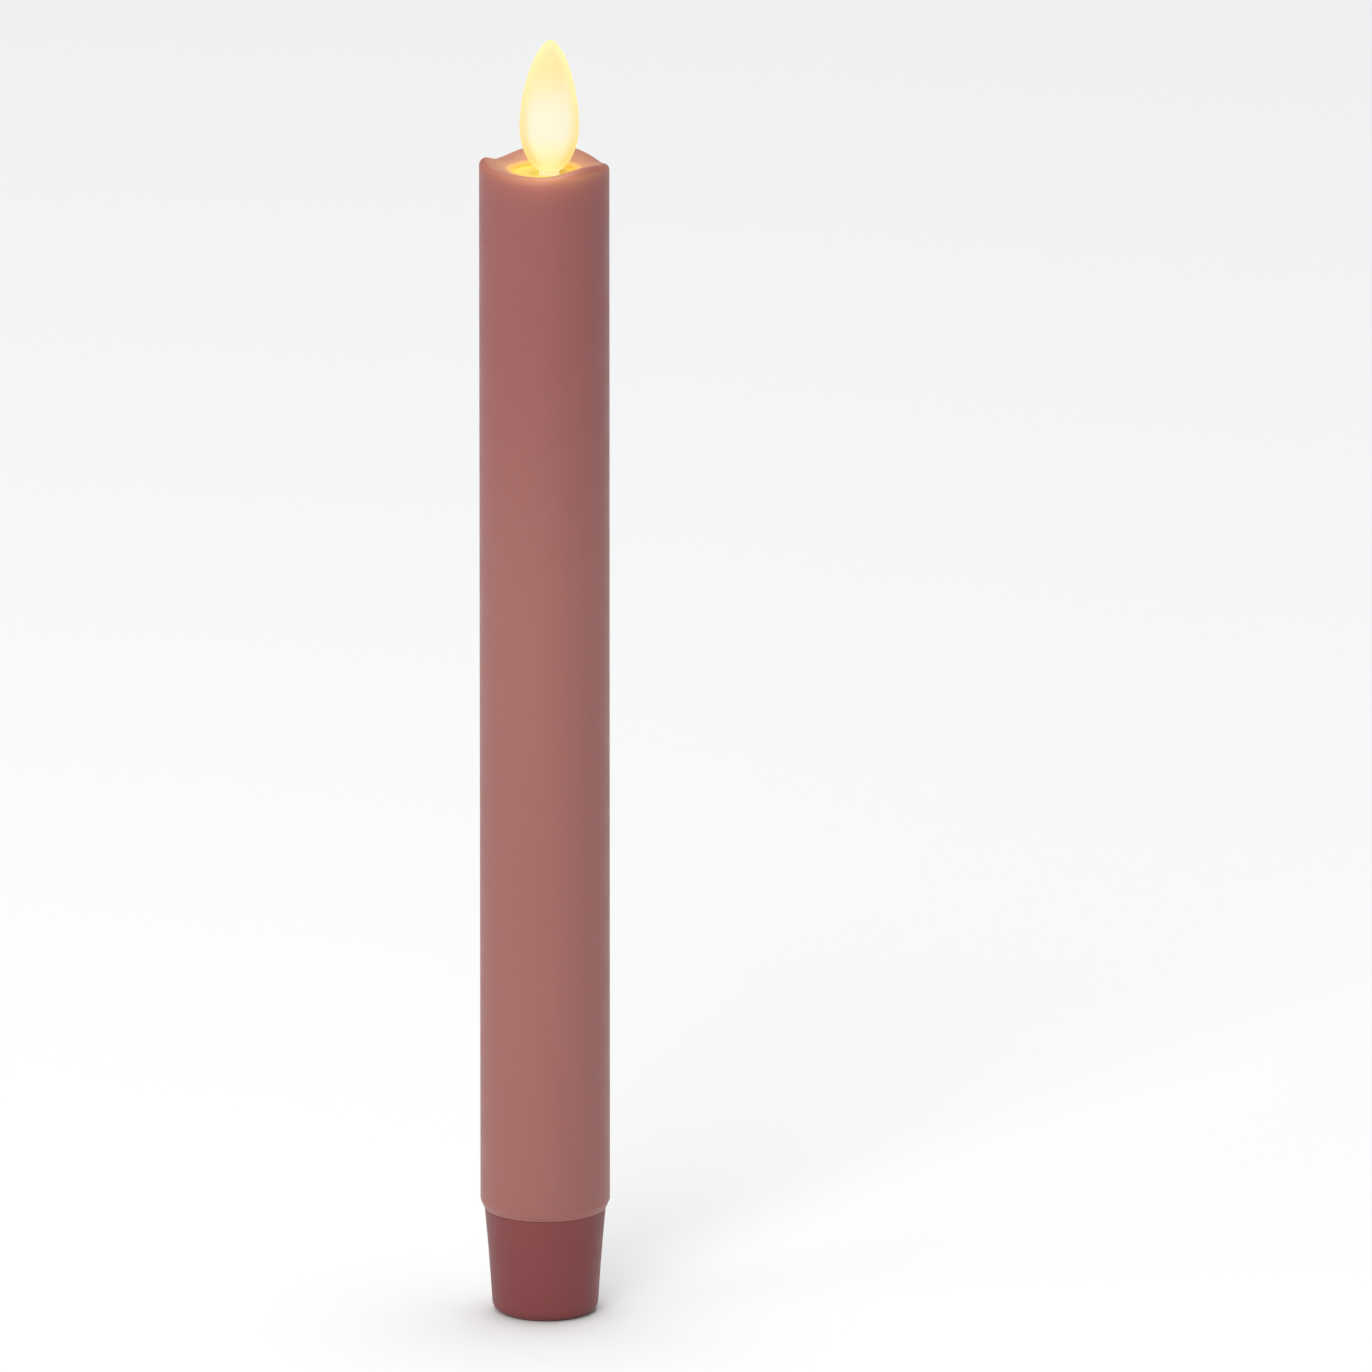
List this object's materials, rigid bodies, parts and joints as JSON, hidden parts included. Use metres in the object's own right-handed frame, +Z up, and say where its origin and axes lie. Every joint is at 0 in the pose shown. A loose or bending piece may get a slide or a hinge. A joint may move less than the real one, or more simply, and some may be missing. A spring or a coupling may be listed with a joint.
{
  "type": "flameless led taper candle",
  "caption": "Slim taper candle with a real-wax sleeve, a lit swinging plastic flame, batteries inside and a tapered foot that unscrews.",
  "frame": {"origin": "centre of the foot's bottom face, which the candle stands on", "axes": "+Z up along the candle; -Y towards the viewer of the picture; the flame swings along X"},
  "size_m": [0.022, 0.022, 0.2222],
  "materials": {
    "rose_wax": "satin",
    "rose_plastic": "satin",
    "flame_plastic": "translucent satin",
    "collar_plastic": "satin",
    "ivory_plastic": "satin",
    "white_plastic": "satin",
    "black_plastic": "satin",
    "steel": "bright",
    "nickel": "polished",
    "copper_wire": "enamelled",
    "lamp_epoxy": "clear",
    "board_green": "satin",
    "chip_black": "matt",
    "capacitor_tan": "satin",
    "solder": "bright",
    "red_insulation": "satin",
    "black_insulation": "satin",
    "cell_jacket": "satin print",
    "gilt_copper": "bright"
  },
  "bodies": {
    "core": {"wax_shell": "rose_wax", "core_tube": "ivory_plastic", "pivot_wire": "steel", "flame_collar": "collar_plastic", "drive_housing_front": "white_plastic", "drive_housing_rear": "white_plastic", "housing_screws": "steel", "coil_bobbin": "black_plastic", "drive_coil": "copper_wire", "coil_leads": "copper_wire", "led_lamp": "lamp_epoxy", "led_leads": "solder", "control_board": "board_green", "controller_chip": "chip_black", "smoothing_capacitor": "capacitor_tan", "drive_transistors": "chip_black", "board_resistors": "chip_black", "solder_joints": "solder", "positive_lead": "red_insulation", "negative_lead": "black_insulation", "battery_stop": "white_plastic", "positive_contact": "nickel", "negative_strip": "nickel"},
    "flame": {"flame_shell": "flame_plastic", "flame_stem": "ivory_plastic", "pendulum_magnet": "nickel"},
    "battery_stack": {"upper_cell": "cell_jacket", "lower_cell": "cell_jacket"},
    "foot": {"base_cap": "rose_plastic", "battery_spring": "steel", "switch_board": "board_green", "contact_ring": "gilt_copper", "board_retainer": "white_plastic", "switch_body": "steel", "switch_pins": "solder"},
    "switch": {"switch_knob": "black_plastic"}
  },
  "joints": [
    {"name": "flame_swing", "type": "hinge", "parent": "core", "child": "flame", "pos_m": [0.00085, 0, 0.1905], "axis": [0, 1, 0], "range_deg": [-8, 8]},
    {"name": "foot_drop", "type": "slide", "parent": "core", "child": "battery_stack", "axis": [0, 0, -1], "range_m": [0, 0.0075]},
    {"name": "foot_unscrew", "type": "hinge", "parent": "battery_stack", "child": "foot", "pos_m": [0, 0, 0.01], "axis": [0, 0, -1], "range_deg": [0, 540]},
    {"name": "switch_slide", "type": "slide", "parent": "foot", "child": "switch", "axis": [1, 0, 0], "range_m": [0, 0.004]}
  ],
  "couplings": [
    {"joint": "foot_unscrew", "follows": "foot_drop", "rad_per_m": 1256.6}
  ]
}
